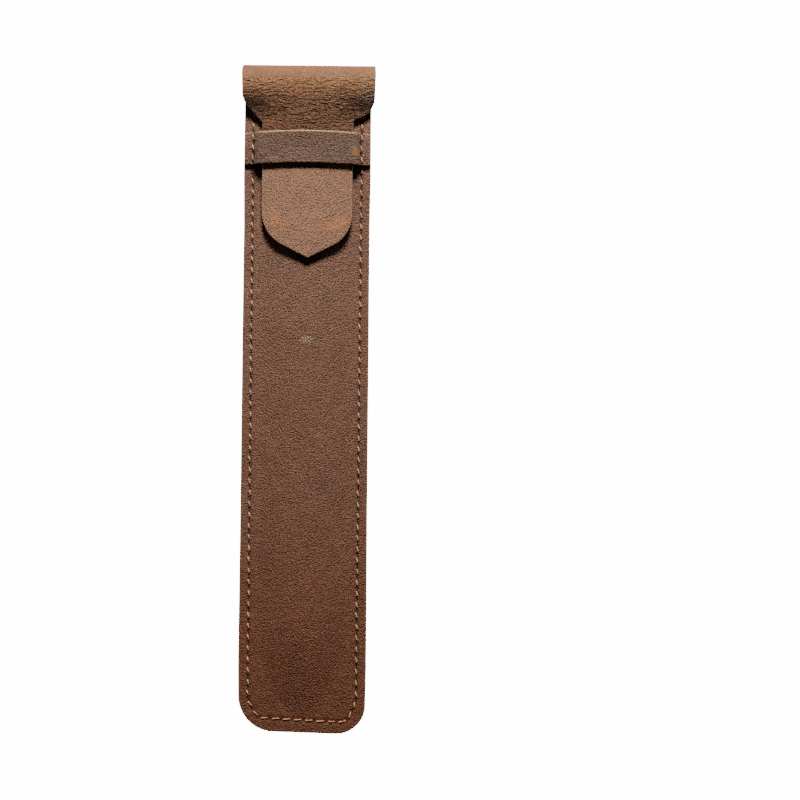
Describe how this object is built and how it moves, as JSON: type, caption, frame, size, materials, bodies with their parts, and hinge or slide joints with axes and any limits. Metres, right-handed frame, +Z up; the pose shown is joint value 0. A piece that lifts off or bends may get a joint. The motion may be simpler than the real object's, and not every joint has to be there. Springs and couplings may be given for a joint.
{
  "type": "fountain pen case",
  "caption": "Slim sewn leather sleeve for a pen, whose back folds over the mouth as a flap and tucks its tongue under a keeper strap.",
  "frame": {"origin": "centre of the footprint on the face the case lies on, half way between its side edges and between the fold and the bottom edge", "axes": "+X across the case, +Y along it towards the fold, +Z up out of the front"},
  "size_m": [0.036, 0.18, 0.0114],
  "materials": {
    "hide": "waxed pull-up leather, matt, worn lighter where it bends",
    "front_leather": "waxed pull-up leather, matt, fine grain",
    "strap_leather": "waxed pull-up leather, rubbed grey, raw edges",
    "thread": "waxed twisted thread"
  },
  "bodies": {
    "pouch": {"back_panel": "hide", "front_panel": "front_leather", "keeper_strap": "strap_leather", "needle_thread": "thread", "bobbin_thread": "thread"},
    "fold_1": {"fold_strip_1": "hide"},
    "fold_2": {"fold_strip_2": "hide"},
    "fold_3": {"fold_strip_3": "hide"},
    "flap": {"flap_shoulders": "hide", "flap_tongue": "hide"}
  },
  "joints": [
    {"name": "bend_1", "type": "hinge", "parent": "pouch", "child": "fold_1", "pos_m": [0, 0.08688, 0.00075], "axis": [-1, 0, 0], "range_deg": [0, 45], "deforming": ["flap_tongue"]},
    {"name": "bend_2", "type": "hinge", "parent": "fold_1", "child": "fold_2", "pos_m": [0, 0.08925, 0.00312], "axis": [-1, 0, 0], "range_deg": [0, 45], "deforming": ["flap_tongue"]},
    {"name": "bend_3", "type": "hinge", "parent": "fold_2", "child": "fold_3", "pos_m": [0, 0.08925, 0.00648], "axis": [-1, 0, 0], "range_deg": [0, 45], "deforming": ["flap_tongue"]},
    {"name": "bend_4", "type": "hinge", "parent": "fold_3", "child": "flap", "pos_m": [0, 0.08688, 0.00885], "axis": [-1, 0, 0], "range_deg": [0, 45], "deforming": ["flap_tongue"]}
  ]
}
